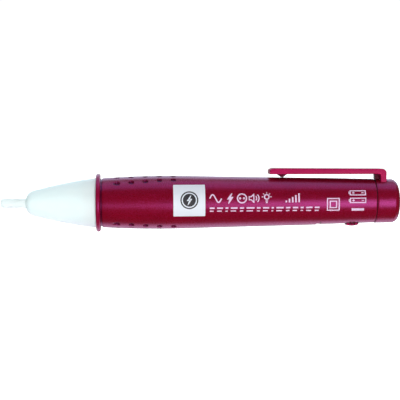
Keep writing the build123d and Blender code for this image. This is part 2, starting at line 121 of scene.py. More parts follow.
def add_studio():
    """White surround, and soft lights in front of the pen, above it, behind and below."""
    world = bpy.data.worlds.new("surround")
    bpy.context.scene.world = world
    world.use_nodes = True
    tree = world.node_tree
    lighting, seen = tree.nodes["Background"], tree.nodes.new("ShaderNodeBackground")
    for shader, strength in ((lighting, 0.10), (seen, 1.05)):
        shader.inputs["Color"].default_value = (1.0, 1.0, 1.0, 1.0)
        shader.inputs["Strength"].default_value = strength
    path = tree.nodes.new("ShaderNodeLightPath")
    mix = tree.nodes.new("ShaderNodeMixShader")
    tree.links.new(path.outputs["Is Camera Ray"], mix.inputs["Fac"])
    tree.links.new(lighting.outputs[0], mix.inputs[1])
    tree.links.new(seen.outputs[0], mix.inputs[2])
    tree.links.new(mix.outputs[0], tree.nodes["World Output"].inputs["Surface"])
    cool, rosy = (0.62, 0.82, 1.0), (0.92, 0.78, 1.0)
    add_light("fill_front", (MIDDLE_X, -1.0, -0.17), 1.6, 0.3, 8.1, mirrored=False)
    add_light("fill_high", (MIDDLE_X, 0.5, 0.85), 1.6, 0.4, 6.0, mirrored=False)
    add_light("front_strip", (MIDDLE_X, -0.9, -0.2), 1.6, 0.15, 0.95)
    add_light("rear_strip", (0.42, -0.9, -0.19), 0.45, 0.6, 3.0)
    add_light("back_wall", (0.14, 1.0, 0.0), 2.0, 0.5, 2.5)
    add_light("overhead", (MIDDLE_X, -0.02, 0.8), 1.6, 0.66, 4.2, cool, spreading=False)
    add_light("back_high", (MIDDLE_X, 0.75, 0.55), 1.8, 0.6, 6.0, cool)
    add_light("back_low", (MIDDLE_X, 0.55, -0.62), 1.8, 0.7, 5.6, rosy)
    bpy.context.scene.view_settings.view_transform = "Standard"


def add_floor():
    """Plain white floor under the pen, seen by the camera only."""
    half, below = 1.5, 0.0006
    z = cad_box[0][2] - below
    data = bpy.data.meshes.new("floor")
    corners = [(-half, -half, z), (half, -half, z), (half, half, z), (-half, half, z)]
    data.from_pydata(corners, [], [(0, 1, 2, 3)])
    floor = bpy.data.objects.new("floor", data)
    bpy.context.scene.collection.objects.link(floor)
    material = bpy.data.materials.new("floor_white")
    material.use_nodes = True
    shader = material.node_tree.nodes["Principled BSDF"]
    shader.inputs["Base Color"].default_value = (0.9, 0.9, 0.9, 1.0)
    shader.inputs["Roughness"].default_value = 0.8
    shader.inputs["Specular IOR Level"].default_value = 0.0
    shader.inputs["Emission Color"].default_value = (1.0, 1.0, 1.0, 1.0)
    shader.inputs["Emission Strength"].default_value = 1.0
    data.materials.append(material)
    floor.visible_diffuse = False
    floor.visible_glossy = False
    floor.visible_transmission = False
    floor.visible_shadow = False


# ---------------------------------------------------------------- materials
def new_material(name):
    """A material with its node tree and its shader."""
    material = bpy.data.materials.new(name)
    material.use_nodes = True
    shader = material.node_tree.nodes["Principled BSDF"]
    return material, material.node_tree, shader


def noise(tree, size_mm, detail=2.0, roughness=0.5, stretch=(1.0, 1.0, 1.0)):
    """Noise in object space with features of about size_mm."""
    place = tree.nodes.new("ShaderNodeTexCoord")
    mapping = tree.nodes.new("ShaderNodeMapping")
    mapping.inputs["Scale"].default_value = [s / (size_mm * MM) for s in stretch]
    texture = tree.nodes.new("ShaderNodeTexNoise")
    texture.inputs["Scale"].default_value = 1.0
    texture.inputs["Detail"].default_value = detail
    texture.inputs["Roughness"].default_value = roughness
    tree.links.new(place.outputs["Object"], mapping.inputs["Vector"])
    tree.links.new(mapping.outputs["Vector"], texture.inputs["Vector"])
    return texture.outputs["Fac"]


def ramp(tree, factor, stops):
    """Colour ramp over a factor: two stops, each a position and a colour."""
    node = tree.nodes.new("ShaderNodeValToRGB")
    for element, (position, colour) in zip(node.color_ramp.elements, stops):
        element.position = position
        element.color = (*colour, 1.0)
    tree.links.new(factor, node.inputs["Fac"])
    return node.outputs["Color"]


def spread(tree, factor, from_low, from_high, to_low, to_high):
    """Maps a factor's range onto another range."""
    node = tree.nodes.new("ShaderNodeMapRange")
    node.inputs["From Min"].default_value = from_low
    node.inputs["From Max"].default_value = from_high
    node.inputs["To Min"].default_value = to_low
    node.inputs["To Max"].default_value = to_high
    tree.links.new(factor, node.inputs["Value"])
    return node.outputs["Result"]


def bump(tree, shader, height, depth_mm):
    """Gives the shader's normal a bump of a real depth."""
    node = tree.nodes.new("ShaderNodeBump")
    node.inputs["Distance"].default_value = depth_mm * MM
    node.inputs["Strength"].default_value = 1.0
    tree.links.new(height, node.inputs["Height"])
    tree.links.new(node.outputs["Normal"], shader.inputs["Normal"])


def tint(colour, factor):
    """A colour made darker or lighter, up to full white."""
    return tuple(min(1.0, c * factor) for c in colour)


def plastic(name, colour, roughness=0.45, grain_mm=0.25, grain_depth=0.004, coat=0.0,
            variation=0.12, subsurface=0.0, shine=0.5, painted_glow=None):
    """Moulded plastic: slight colour variation, a fine moulded grain, uneven gloss."""
    material, tree, shader = new_material(name)
    cloud = noise(tree, 6.0, detail=3.0)
    stops = [(0.3, tint(colour, 1.0 - variation)), (0.7, tint(colour, 1.0 + variation))]
    tree.links.new(ramp(tree, cloud, stops), shader.inputs["Base Color"])
    fine = noise(tree, grain_mm, detail=2.0)
    gloss = spread(tree, fine, 0.3, 0.7, roughness - 0.05, roughness + 0.05)
    tree.links.new(gloss, shader.inputs["Roughness"])
    bump(tree, shader, fine, grain_depth)
    shader.inputs["Specular IOR Level"].default_value = shine
    shader.inputs["Coat Weight"].default_value = coat
    shader.inputs["Coat Roughness"].default_value = 0.15
    if subsurface:
        shader.inputs["Subsurface Weight"].default_value = subsurface
        shader.inputs["Subsurface Radius"].default_value = (1.0, 1.0, 1.0)
        shader.inputs["Subsurface Scale"].default_value = 0.003
    # An emission here is painted light: the part is no lamp.
    if painted_glow is not None:
        shader.inputs["Emission Color"].default_value = (*painted_glow, 1.0)
        shader.inputs["Emission Strength"].default_value = 1.0
    return material


# Colours are linear red, green and blue.
RED_FLAKE = (0.08, 0.004, 0.03)
PEARL = (1.0, 0.18, 0.8)


def pearl_lacquer(name, deep):
    """Dark red lacquer with fine pearl flakes that catch the light in violet."""
    material, tree, shader = new_material(name)
    cloud = noise(tree, 9.0, detail=2.0)
    flakes = noise(tree, 0.4, detail=1.0, roughness=0.4)
    base = ramp(tree, cloud, [(0.3, tint(deep, 0.94)), (0.7, tint(deep, 1.06))])
    sparkle = ramp(tree, flakes, [(0.52, (0.0, 0.0, 0.0)), (0.74, RED_FLAKE)])
    add = tree.nodes.new("ShaderNodeMix")
    add.data_type = "RGBA"
    add.blend_type = "ADD"
    add.inputs["Factor"].default_value = 1.0
    tree.links.new(base, add.inputs["A"])
    tree.links.new(sparkle, add.inputs["B"])
    tree.links.new(add.outputs["Result"], shader.inputs["Base Color"])
    grain = noise(tree, 0.22, detail=2.0)
    gloss = spread(tree, grain, 0.3, 0.7, 0.24, 0.34)
    tree.links.new(gloss, shader.inputs["Roughness"])
    shader.inputs["IOR"].default_value = 1.6
    shader.inputs["Specular IOR Level"].default_value = 0.8
    shader.inputs["Specular Tint"].default_value = (*PEARL, 1.0)
    bump(tree, shader, flakes, 0.02)
    return material


def metal(name, colour, grain):
    """Plated or bare metal with a fine drawn grain."""
    material, tree, shader = new_material(name)
    lines = noise(tree, 0.1, detail=3.0, stretch=grain)
    stops = [(0.3, tint(colour, 0.88)), (0.7, tint(colour, 1.05))]
    tree.links.new(ramp(tree, lines, stops), shader.inputs["Base Color"])
    gloss = spread(tree, lines, 0.3, 0.7, 0.22, 0.38)
    tree.links.new(gloss, shader.inputs["Roughness"])
    shader.inputs["Metallic"].default_value = 1.0
    bump(tree, shader, lines, 0.004)
    return material


def clear_plastic(name, colour):
    """Tinted clear resin for the lamp."""
    material, tree, shader = new_material(name)
    cloud = noise(tree, 1.5, detail=2.0)
    stops = [(0.3, tint(colour, 0.85)), (0.7, tint(colour, 1.1))]
    tree.links.new(ramp(tree, cloud, stops), shader.inputs["Base Color"])
    shader.inputs["Transmission Weight"].default_value = 0.75
    shader.inputs["Roughness"].default_value = 0.15
    shader.inputs["IOR"].default_value = 1.5
    return material


# The shaded colours stand for the shade that lies in hollows and under the clip.
RED = (0.195, 0.0004, 0.005)
RED_SHADED = (0.07, 0.0004, 0.006)
# The collar's red is a lighter copy of the body's red: painted light for the extra light that
# the collar catches.
RED_COLLAR_LIT = (0.26, 0.0008, 0.022)
RASPBERRY = (0.40, 0.003, 0.075)
RASPBERRY_SHADED = (0.07, 0.0008, 0.012)
SHADED_PLASTIC = plastic("raspberry_painted_shade", RASPBERRY_SHADED, grain_mm=0.3, shine=0.1)
LIT_COLLAR_LACQUER = pearl_lacquer("pearl_red_collar_lit", RED_COLLAR_LIT)
SHADED_LACQUER = pearl_lacquer("pearl_red_painted_shade", RED_SHADED)
materials = {
    "body_paint": pearl_lacquer("pearl_red", RED),
    # The nose's emission is painted light: an even glow that lifts its shaded sides towards
    # white.
    "nose_plastic": plastic(
        "milky_nose", (0.78, 0.90, 0.92), roughness=0.42, variation=0.015,
        grain_mm=0.3, grain_depth=0.002, subsurface=1.0, painted_glow=(0.185, 0.237, 0.237),
    ),
    "clip_plastic": plastic(
        "raspberry_clip", RASPBERRY, roughness=0.42, variation=0.06, grain_mm=0.3, shine=0.14
    ),
    "button_plastic": plastic(
        "raspberry_button", RASPBERRY, roughness=0.42, variation=0.06, grain_mm=0.2, shine=0.2
    ),
    "label_film": plastic(
        "label_film", (0.80, 0.85, 0.93), roughness=0.5, variation=0.02, grain_mm=0.15,
        grain_depth=0.002,
    ),
    "seal_rubber": plastic(
        "seal_rubber", (0.06, 0.0015, 0.01), roughness=0.7, grain_mm=0.1, shine=0.15,
        grain_depth=0.01,
    ),
    "inner_plastic": plastic("inner_plastic", (0.035, 0.035, 0.04), roughness=0.5),
    "board": plastic("board_mask", (0.02, 0.14, 0.05), roughness=0.35, grain_mm=0.5),
    "chip_plastic": plastic("chip_black", (0.015, 0.015, 0.017), roughness=0.55),
    "ceramic_part": plastic("ceramic_tan", (0.42, 0.30, 0.18), roughness=0.5),
    "contact_metal": metal("nickel_plate", (0.72, 0.71, 0.68), grain=(0.1, 1.0, 1.0)),
    "copper": metal("bare_copper", (0.72, 0.35, 0.20), grain=(0.1, 1.0, 1.0)),
    "led_lens": clear_plastic("red_lens", (0.85, 0.03, 0.02)),
    "cell_metal": metal("cell_steel", (0.66, 0.66, 0.65), grain=(1.0, 0.1, 0.1)),
    "cell_film": plastic("cell_film", (0.02, 0.06, 0.22), roughness=0.25, coat=0.4),
}
BODY_INK = plastic(
    "pad_print", (0.80, 0.58, 0.80), roughness=0.5, variation=0.08, grain_mm=0.08
)
LABEL_INK = plastic("label_ink", (0.03, 0.028, 0.035), roughness=0.5, grain_mm=0.08)


def paint(piece, material):
    """Gives a piece one material and no other."""
    piece.data.materials.clear()
    piece.data.materials.append(material)


def dress(piece, slot):
    """Gives a piece the finish of one of the record's slots."""
    paint(piece, materials[slot])


# ---------------------------------------------------------------- mesh tools
def add_mesh(name, points_mm, faces, sharp_deg=32.0):
    """A mesh object from points in mm, with even normals and smooth shading."""
    data = bpy.data.meshes.new(name)
    data.from_pydata([Vector(p) * MM for p in points_mm], [], faces)
    tidy_normals(data)
    piece = bpy.data.objects.new(name, data)
    bpy.context.scene.collection.objects.link(piece)
    smooth(piece, sharp_deg)
    return piece


def tidy_normals(data):
    """Joins points that coincide and turns every face outwards."""
    work = bmesh.new()
    work.from_mesh(data)
    bmesh.ops.remove_doubles(work, verts=work.verts, dist=1e-7)
    bmesh.ops.recalc_face_normals(work, faces=work.faces)
    work.to_mesh(data)
    work.free()


def smooth(piece, sharp_deg=32.0):
    """Smooth shading, except over edges sharper than an angle."""
    piece.data.polygons.foreach_set("use_smooth", [True] * len(piece.data.polygons))
    piece.data.set_sharp_from_angle(angle=math.radians(sharp_deg))
    piece.data.update()


def apply_modifiers(piece):
    """Works a piece's modifiers into its mesh."""
    bpy.context.view_layer.update()
    graph = bpy.context.evaluated_depsgraph_get()
    data = bpy.data.meshes.new_from_object(piece.evaluated_get(graph))
    piece.modifiers.clear()
    old = piece.data
    piece.data = data
    bpy.data.meshes.remove(old)


def cut(piece, cutter):
    """Takes the cutter's volume out of the piece, and removes the cutter."""
    step = piece.modifiers.new("cut", "BOOLEAN")
    step.operation = "DIFFERENCE"
    step.solver = "EXACT"
    step.object = cutter
    apply_modifiers(piece)
    bpy.data.objects.remove(cutter)


def on_circle(x, radius, angle):
    """A point round the pen's axis: angle 0 is the top, 90 degrees the near side."""
    return (x, -radius * math.sin(angle), radius * math.cos(angle))


def rounded(corners, steps=6):
    """A path through corners (x, r, radius).

    Each corner between the two ends is turned by an arc, unless its radius is 0.
    """
    path = []
    last = len(corners) - 1
    for i, (x, r, radius) in enumerate(corners):
        here = Vector((x, r))
        if i in (0, last) or radius <= 0:
            path.append((x, r))
            continue
        back = (Vector(corners[i - 1][:2]) - here).normalized()
        ahead = (Vector(corners[i + 1][:2]) - here).normalized()
        half = back.angle(ahead) / 2
        reach = radius / math.tan(half)
        centre = here + (back + ahead).normalized() * (radius / math.sin(half))
        start, end = here + back * reach - centre, here + ahead * reach - centre
        for k in range(steps + 1):
            turn = start.lerp(end, k / steps).normalized()
            path.append(tuple(centre + turn * radius))
    return path


def arc_through(start, middle, end, steps):
    """Points on the circle through three points."""
    (ax, ay), (bx, by), (cx, cy) = start, middle, end
    d = 2 * (ax * (by - cy) + bx * (cy - ay) + cx * (ay - by))
    a2, b2, c2 = ax * ax + ay * ay, bx * bx + by * by, cx * cx + cy * cy
    ux = (a2 * (by - cy) + b2 * (cy - ay) + c2 * (ay - by)) / d
    uy = (a2 * (cx - bx) + b2 * (ax - cx) + c2 * (bx - ax)) / d
    radius = math.hypot(ax - ux, ay - uy)
    first = math.atan2(ay - uy, ax - ux)
    sweep = math.remainder(math.atan2(cy - uy, cx - ux) - first, math.tau)
    angles = [first + sweep * k / steps for k in range(steps + 1)]
    return [(ux + radius * math.cos(a), uy + radius * math.sin(a)) for a in angles]


def lathe(name, loop, segments=ROUND_SEGMENTS, shape=None, sharp_deg=32.0):
    """A ring of a closed half section about X. A point on the axis becomes a pole."""
    points, rings = [], []
    for x, r in loop:
        if r < 1e-6:
            rings.append([len(points)])
            points.append((x, 0.0, 0.0))
            continue
        ring = []
        for k in range(segments):
            angle = math.tau * k / segments
            radius = r if shape is None else shape(x, r, angle)
            ring.append(len(points))
            points.append(on_circle(x, radius, angle))
        rings.append(ring)
    faces = []
    for a, b in zip(rings, rings[1:] + rings[:1]):
        if len(a) == 1 and len(b) == 1:
            continue
        for k in range(segments):
            j = (k + 1) % segments
            if len(a) == 1:
                faces.append((a[0], b[j], b[k]))
            elif len(b) == 1:
                faces.append((a[k], a[j], b[0]))
            else:
                faces.append((a[k], a[j], b[j], b[k]))
    return add_mesh(name, points, faces, sharp_deg)


def box_mesh(name, lows, highs):
    """A plain box, to cut with or to keep."""
    work = bmesh.new()
    bmesh.ops.create_cube(work, size=1.0)
    for v in work.verts:
        v.co = Vector([(lo if c < 0 else hi) * MM for c, lo, hi in zip(v.co, lows, highs)])
    data = bpy.data.meshes.new(name)
    work.to_mesh(data)
    work.free()
    piece = bpy.data.objects.new(name, data)
    bpy.context.scene.collection.objects.link(piece)
    return piece


def bevel(piece, width_mm, segments=3, angle_deg=35.0):
    """Adds a modifier that rounds a piece's hard edges."""
    step = piece.modifiers.new("edge", "BEVEL")
    step.width = width_mm * MM
    step.segments = segments
    step.limit_method = "ANGLE"
    step.angle_limit = math.radians(angle_deg)


def slab_faces(nx, ny):
    """Faces of a thin slab: a grid of points for one side, then the same for the other."""
    side, faces = (nx + 1) * (ny + 1), []
    for first in (0, side):
        for i in range(nx):
            for k in range(ny):
                a, b = first + i * (ny + 1) + k, first + (i + 1) * (ny + 1) + k
                faces.append((a, b, b + 1, a + 1))
    border = [(i, 0) for i in range(nx)] + [(nx, k) for k in range(ny)]
    border += [(i, ny) for i in range(nx, 0, -1)] + [(0, k) for k in range(ny, 0, -1)]
    index = [i * (ny + 1) + k for i, k in border]
    for a, b in zip(index, index[1:] + index[:1]):
        faces.append((a, b, side + b, side + a))
    return faces


class Outline:
    """Outer radius of the CAD barrel along X, read on its near side, in mm."""

    def __init__(self):
        tree = BVHTree.FromObject(nodes["barrel"], bpy.context.evaluated_depsgraph_get())
        past_ring, before_end, spacing, outside = 2.6, 0.01, 0.5, -50.0
        self.x0 = low("collar_ring", "x") + past_ring
        x1 = high("barrel", "x") - before_end
        self.count = int((x1 - self.x0) / spacing)
        self.step = (x1 - self.x0) / self.count
        self.radii = []
        for k in range(self.count + 1):
            start = Vector((self.x0 + k * self.step, outside, 0.0)) * MM
            hit = tree.ray_cast(start, Vector((0.0, 1.0, 0.0)))[0]
            self.radii.append(-hit.y / MM)

    def __call__(self, x):
        """The radius at x, between the readings on either side of it."""
        place = min(max((x - self.x0) / self.step, 0.0), self.count - 1e-6)
        k = int(place)
        return self.radii[k] + (self.radii[k + 1] - self.radii[k]) * (place - k)


barrel_radius = Outline()


# ---------------------------------------------------------------- nose and collar
def make_nose():
    """Milky nose: slim rod with a round tip, swelling into a hollow cone."""
    tip, end = low("probe_nose", "x"), high("probe_nose", "x")
    rod_radius = frame["record"]["mounts"][0]["dims"]["r_mm"]
    end_radius = high("probe_nose", "z")
    tip_round, root_round = 1.1, 0.45
    root_x, root_side = 0.15, (0.75, 3.15)
    swell_start, swell_middle, shoulder = (0.42, 2.75), (1.15, 3.85), (2.8, 4.85)
    cone_middle = (15.2, 7.75)
    seat_x, seat, hole, hole_x = 23.3, 8.25, 0.7, tip + 1.5
    rod = [(tip, 0.0, 0), (tip, rod_radius, tip_round), (root_x, rod_radius, root_round)]
    outside = [(tip, 0.0)] + rounded(rod + [(*root_side, 0)])[1:-1]
    outside += arc_through(swell_start, swell_middle, shoulder, 12)
    outside += arc_through(shoulder, cone_middle, (end - 0.3, end_radius), 60)[1:]
    outside += [(end - 0.08, end_radius - 0.02), (end, end_radius - 0.2)]
    inside = [(end, seat), (seat_x, seat), (seat_x, 7.4), (15.0, 5.6), (8.0, 4.1)]
    inside += [(4.0, 3.2), (4.0, hole), (hole_x, hole), (hole_x, 0.0)]
    nose = lathe("nose", outside + inside, sharp_deg=50.0)
    dress(nose, "nose_plastic")
    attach(nose, "barrel")
    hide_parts("probe_nose")


def make_collar():
    """Collar ring with a softly rounded rim."""
    x0, x1 = low("collar_ring", "x"), high("collar_ring", "x")
    rim, inner, edge = high("collar_ring", "z"), 8.2, 0.8
    section = [(x0, inner, 0), (x0, rim, edge), (x1, rim, edge), (x1, inner, 0)]
    collar = lathe("collar", rounded(section, steps=10), sharp_deg=40.0)
    # The collar's lacquer is a lighter copy of the body's red lacquer: painted light.
    paint(collar, LIT_COLLAR_LACQUER)
    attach(collar, "barrel")
    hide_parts("collar_ring")


# ---------------------------------------------------------------- barrel
# Columns of dimples above and below the pen, the same on its near and far side. Places
# round it are in degrees from the top or the bottom. The inner dimple's never changes.
DIMPLE_FIRST_X = 35.75
DIMPLE_PITCH = 5.45
DIMPLE_INNER = 10.5
DIMPLE_OUTER_TOP = (39.5, 37.5, 35.0, 32.0, 30.5)
DIMPLE_OUTER_BOTTOM = (36.0, 34.0, 31.5, 28.5, 27.0)
# A ball presses each dimple, with its middle lifted off the surface and a soft edge.
DIMPLE_BALL = 1.15
DIMPLE_LIFT = 0.3
DIMPLE_EDGE = 0.05


def dimple_shape(x, r, angle):
    """The barrel's radius with the grip dimples pressed in."""
    bore_limit = 9.0
    if r < bore_limit:
        return r
    column = round((x - DIMPLE_FIRST_X) / DIMPLE_PITCH)
    if not 0 <= column < len(DIMPLE_OUTER_TOP):
        return r
    along = x - (DIMPLE_FIRST_X + column * DIMPLE_PITCH)
    from_pole = abs(math.remainder(angle, math.pi))
    outer = DIMPLE_OUTER_TOP if math.cos(angle) > 0 else DIMPLE_OUTER_BOTTOM
    sunk = 0.0
    for place in (DIMPLE_INNER, outer[column]):
        across = (from_pole - math.radians(place)) * r
        inside = DIMPLE_BALL**2 - along**2 - across**2
        if inside > 0:
            depth = math.sqrt(inside) - DIMPLE_LIFT
            sunk = max(sunk, (depth + math.sqrt(depth**2 + DIMPLE_EDGE**2)) / 2)
    return r - sunk


def make_barrel():
    """Main tube: neck, groove, swelling body with dimples, and the switch bay."""
    neck_x, groove_x = low("barrel", "x"), high("collar_ring", "x")
    body_x, end = groove_x + 0.6, high("barrel", "x")
    neck, groove, bore = 8.15, 9.2, 7.15
    front, back = barrel_radius(body_x), barrel_radius(end)
    fine_start, fine_end, fine_step, plain_step = 34.4, 58.6, 0.14, 0.8
    xs = []
    x = body_x + 0.35
    while x < end - 0.3:
        xs.append(x)
        x += fine_step if fine_start < x < fine_end else plain_step
    loop = [(neck_x, bore), (neck_x, neck), (groove_x, neck), (groove_x, groove)]
    loop += [(body_x, groove), (body_x, front - 0.35), (body_x + 0.05, front - 0.16)]
    loop += [(body_x + 0.16, front - 0.04)]
    loop += [(x, barrel_radius(x)) for x in xs]
    loop += [(end - 0.25, back), (end - 0.07, back - 0.06), (end, back - 0.22), (end, bore)]
    barrel = lathe("barrel_shell", loop, segments=400, shape=dimple_shape)
    panel_gap, side_gap = 0.55, 0.12
    half = high("switch_panel", "y") + side_gap
    bay_x, bay_floor, below = low("switch_panel", "x") - panel_gap, -5.0, -12.0
    cut(barrel, box_mesh("bay", (bay_x, -half, below), (end + 1.0, half, bay_floor)))
    # A shallow notch at the bay's front edge, which shows in the outline from the side.
    lip_length, lip_floor = 1.3, -8.75
    lip_low, lip_high = (bay_x - lip_length, -half, below), (bay_x + 0.1, half, lip_floor)
    cut(barrel, box_mesh("lip", lip_low, lip_high))
    smooth(barrel)
    dress(barrel, "body_paint")
    # The groove and the dimples' insides take the darker lacquer: painted shade for the shade
    # that lies in them.
    barrel.data.materials.append(SHADED_LACQUER)
    dimple_start, dimple_end = DIMPLE_FIRST_X - 2, DIMPLE_FIRST_X + 24
    for face in barrel.data.polygons:
        x, y, z = face.center / MM
        in_groove = neck_x + 2 < x < body_x
        sunk = bore + 1 < math.hypot(y, z) < barrel_radius(x) - 0.1
        if in_groove or (dimple_start < x < dimple_end and sunk):
            face.material_index = 1
    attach(barrel, "barrel")
    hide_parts("barrel")


# ---------------------------------------------------------------- end cap
def make_cap():
    """Crowned end cap with a plug and the clip's seat."""
    plug_x, x0 = low("end_cap", "x"), low("cap_gasket", "x") + 0.35
    end = high("end_cap", "x") - 0.3
    rim, plug, bore, wall = high("cap_gasket", "z") + 0.2, 7.05, 5.6, 1.8
    edge_x, edge_radius, crown = end - 3.2, 8.58, (end - 1.0, 6.3)
    edge = arc_through((edge_x, edge_radius), (end - 1.9, 7.95), crown, 14)
    back = arc_through(crown, (end - 0.24, 3.3), (end, 0.6), 14)
    loop = [(plug_x, bore), (plug_x, plug - 0.25), (plug_x + 0.25, plug)]
    loop += [(x0, plug), (x0, rim - 0.22), (x0 + 0.07, rim - 0.06), (x0 + 0.22, rim)]
    for k in range(1, 8):
        loop.append((x0 + (edge_x - x0) * k / 8, rim + (edge_radius - rim) * k / 8))
    loop += edge + back[1:] + [(end, 0.0), (end - wall, 0.0), (end - wall, bore)]
    cap = lathe("cap_shell", loop)
    leg, leg_end = 2.36, high("pocket_clip", "x")
    half, seat_z, above = high("pocket_clip", "y") + 0.1, 5.6, 12.0
    seat_low, seat_high = (leg_end - leg - 0.1, -half, seat_z), (leg_end + 0.3, half, above)
    cut(cap, box_mesh("slot", seat_low, seat_high))
    smooth(cap)
    dress(cap, "body_paint")
    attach(cap, "cap")
    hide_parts("end_cap")


# ---------------------------------------------------------------- button
def soft_step(value, sharpness):
    """0 well below zero and 1 well above it, with a soft change between."""
    return 1.0 / (1.0 + math.exp(-sharpness * value))


def make_button():
    """Domed key with side notches that leave two cross ribs, and its flange."""
    x0, x1 = low("push_button", "x"), high("push_button", "x")
    half_y, overhang = high("push_button", "y"), 0.7
    crown_z, top_z = low("push_button", "z") - 0.25, high("push_button", "z")
    flange_z, middle = top_z - 0.4, (x0 + x1) / 2 - 0.3
    dome, rise, notch_depth = 7.5, 1.0, 1.0
    key_x, key_y = (x1 - x0) / 2 - overhang, half_y - overhang
    end_wall, rib_half, rib_places = 0.3, 0.42, (-0.78, 0.62)

    def dome_z(x, y):
        """Height of the dome that the ribs' crests lie on."""
        return crown_z + (dome - math.sqrt(dome**2 - (x - middle) ** 2 - y**2))

    def face_z(x, y):
        """Height of the key's face, with its notches."""
        off = abs(x - middle)
        rib = max(soft_step(rib_half - abs(x - middle - u), 14.0) for u in rib_places)
        end = soft_step(off - (key_x - end_wall), 12.0)
        core = soft_step(key_y - notch_depth - abs(y), 10.0)
        solid = max(rib, end, core)
        return min(dome_z(x, y) + (1.0 - solid) * rise, flange_z - 0.15)

    nx, ny = 64, 44
    face, root = [], []
    for i in range(nx + 1):
        for k in range(ny + 1):
            x, y = middle + key_x * (2 * i / nx - 1), key_y * (2 * k / ny - 1)
            face.append((x, y, face_z(x, y)))
            root.append((x, y, flange_z + 0.2))
    key = add_mesh("button_key", face + root, slab_faces(nx, ny), 50.0)
    dress(key, "button_plastic")
    # The key's recessed faces, in the notches, take the darker raspberry: painted shade for
    # the shade inside them.
    key.data.materials.append(SHADED_PLASTIC)
    for polygon in key.data.polygons:
        x, y, z = polygon.center / MM
        if z > dome_z(x, y) + 0.55 * rise:
            polygon.material_index = 1
    flange = box_mesh("button_flange", (x0, -half_y, flange_z), (x1, half_y, top_z))
    bevel(flange, 0.1)
    apply_modifiers(flange)
    smooth(flange)
    dress(flange, "button_plastic")
    for piece in (key, flange):
        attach(piece, "button")
        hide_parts("push_button")


# ---------------------------------------------------------------- clip
def prism(name, outline, half, edge_mm):
    """A side outline in X and Z carried across Y, with softened edges."""
    count = len(outline)
    points = [(x, y, z) for y in (-half, half) for x, z in outline]
    faces = [tuple(range(count)), tuple(range(2 * count - 1, count - 1, -1))]
    for k in range(count):
        j = (k + 1) % count
        faces.append((k, j, count + j, count + k))
    piece = add_mesh(name, points, faces)
    bevel(piece, edge_mm, segments=4, angle_deg=50.0)
    apply_modifiers(piece)
    smooth(piece, 40.0)
    return piece


def make_clip():
    """Long bar with a rounded front, a wedge foot and a leg, all edges softened."""
    x0, x1 = low("pocket_clip", "x") - 0.4, high("pocket_clip", "x")
    half = high("pocket_clip", "y")
    top_front, top_rear = high("pocket_clip", "z"), high("pocket_clip", "z") - 0.43
    under_front, under_rear = top_front - 2.33, top_rear - 2.05
    leg = 2.36
    leg_x, pivot_z = x1 - leg, low("pocket_clip", "z") + leg / 2
    flat_x, brow_x, brow_z = x0 + 2, x0 + 1.2, top_front - 0.6

    def under_z(x):
        """Height of the bar's underside, a straight line along it."""
        t = (x - x0) / (leg_x - x0)
        return under_front + (under_rear - under_front) * t

    top = [(flat_x, top_front, 0), (x1, top_rear, 1.75), (x1, pivot_z, 0)]
    outline = rounded(top, steps=10)
    for k in range(1, 12):
        a = -math.pi * k / 12
        outline.append((x1 - leg / 2 + leg / 2 * math.cos(a), pivot_z + leg / 2 * math.sin(a)))
    under = [(leg_x, pivot_z, 0), (leg_x, under_z(leg_x), 0.6), (x0, under_z(x0), 0.45)]
    under += [(x0, brow_z, 0.3), (brow_x, top_front, 0.6), (flat_x, top_front, 0)]
    outline += rounded(under)[:-1]
    clip = prism("clip_bar", outline, half, 0.28)
    foot_x, foot_half, tip_half, foot_z = 100.4, 2.3, 0.25, 9.6
    root_z = under_z(foot_x) + 0.4
    wedge = [(foot_x, root_z, 0), (foot_x + foot_half, root_z, 0.05)]
    wedge += [(foot_x + tip_half, foot_z, 0.25), (foot_x - tip_half, foot_z, 0.25)]
    wedge += [(foot_x - foot_half, root_z, 0.05), (foot_x, root_z, 0)]
    foot = prism("clip_foot", rounded(wedge)[:-1], half * 0.6, 0.06)
    gusset_x, gusset_half, gusset_z = low("cap_gasket", "x") + 0.45, 1.8, 7.6
    gusset = box_mesh(
        "clip_gusset",
        (gusset_x, -gusset_half, gusset_z),
        (leg_x + 0.3, gusset_half, under_z(x1) + 0.3),
    )
    saddle = high("cap_gasket", "z") + 0.34
    cut(gusset, lathe("saddle", [(x0, 0.0), (x0, saddle), (x1, saddle), (x1, 0.0)]))
    bevel(gusset, 0.15)
    apply_modifiers(gusset)
    smooth(gusset)
    paint(clip, materials["clip_plastic"])
    # The foot and the gusset take the darker raspberry: painted shade for the shade under the
    # bar.
    paint(foot, SHADED_PLASTIC)
    paint(gusset, SHADED_PLASTIC)
    for piece in (clip, foot, gusset):
        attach(piece, "clip")
        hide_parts("pocket_clip")


# ---------------------------------------------------------------- label and print
def wrap(u, v, lift):
    """A point on the barrel: u along X, v round it from the near side, upwards positive."""
    r = barrel_radius(u)
    return on_circle(u, r + lift, math.pi / 2 - v / r)


def resample(line, step):
    """Points along a broken line, no further apart than a step."""
    path = [Vector(line[0])]
    for a, b in zip(line, line[1:]):
        a, b = Vector(a), Vector(b)
        n = max(1, math.ceil((b - a).length / step))
        path += [a.lerp(b, k / n) for k in range(1, n + 1)]
    return path


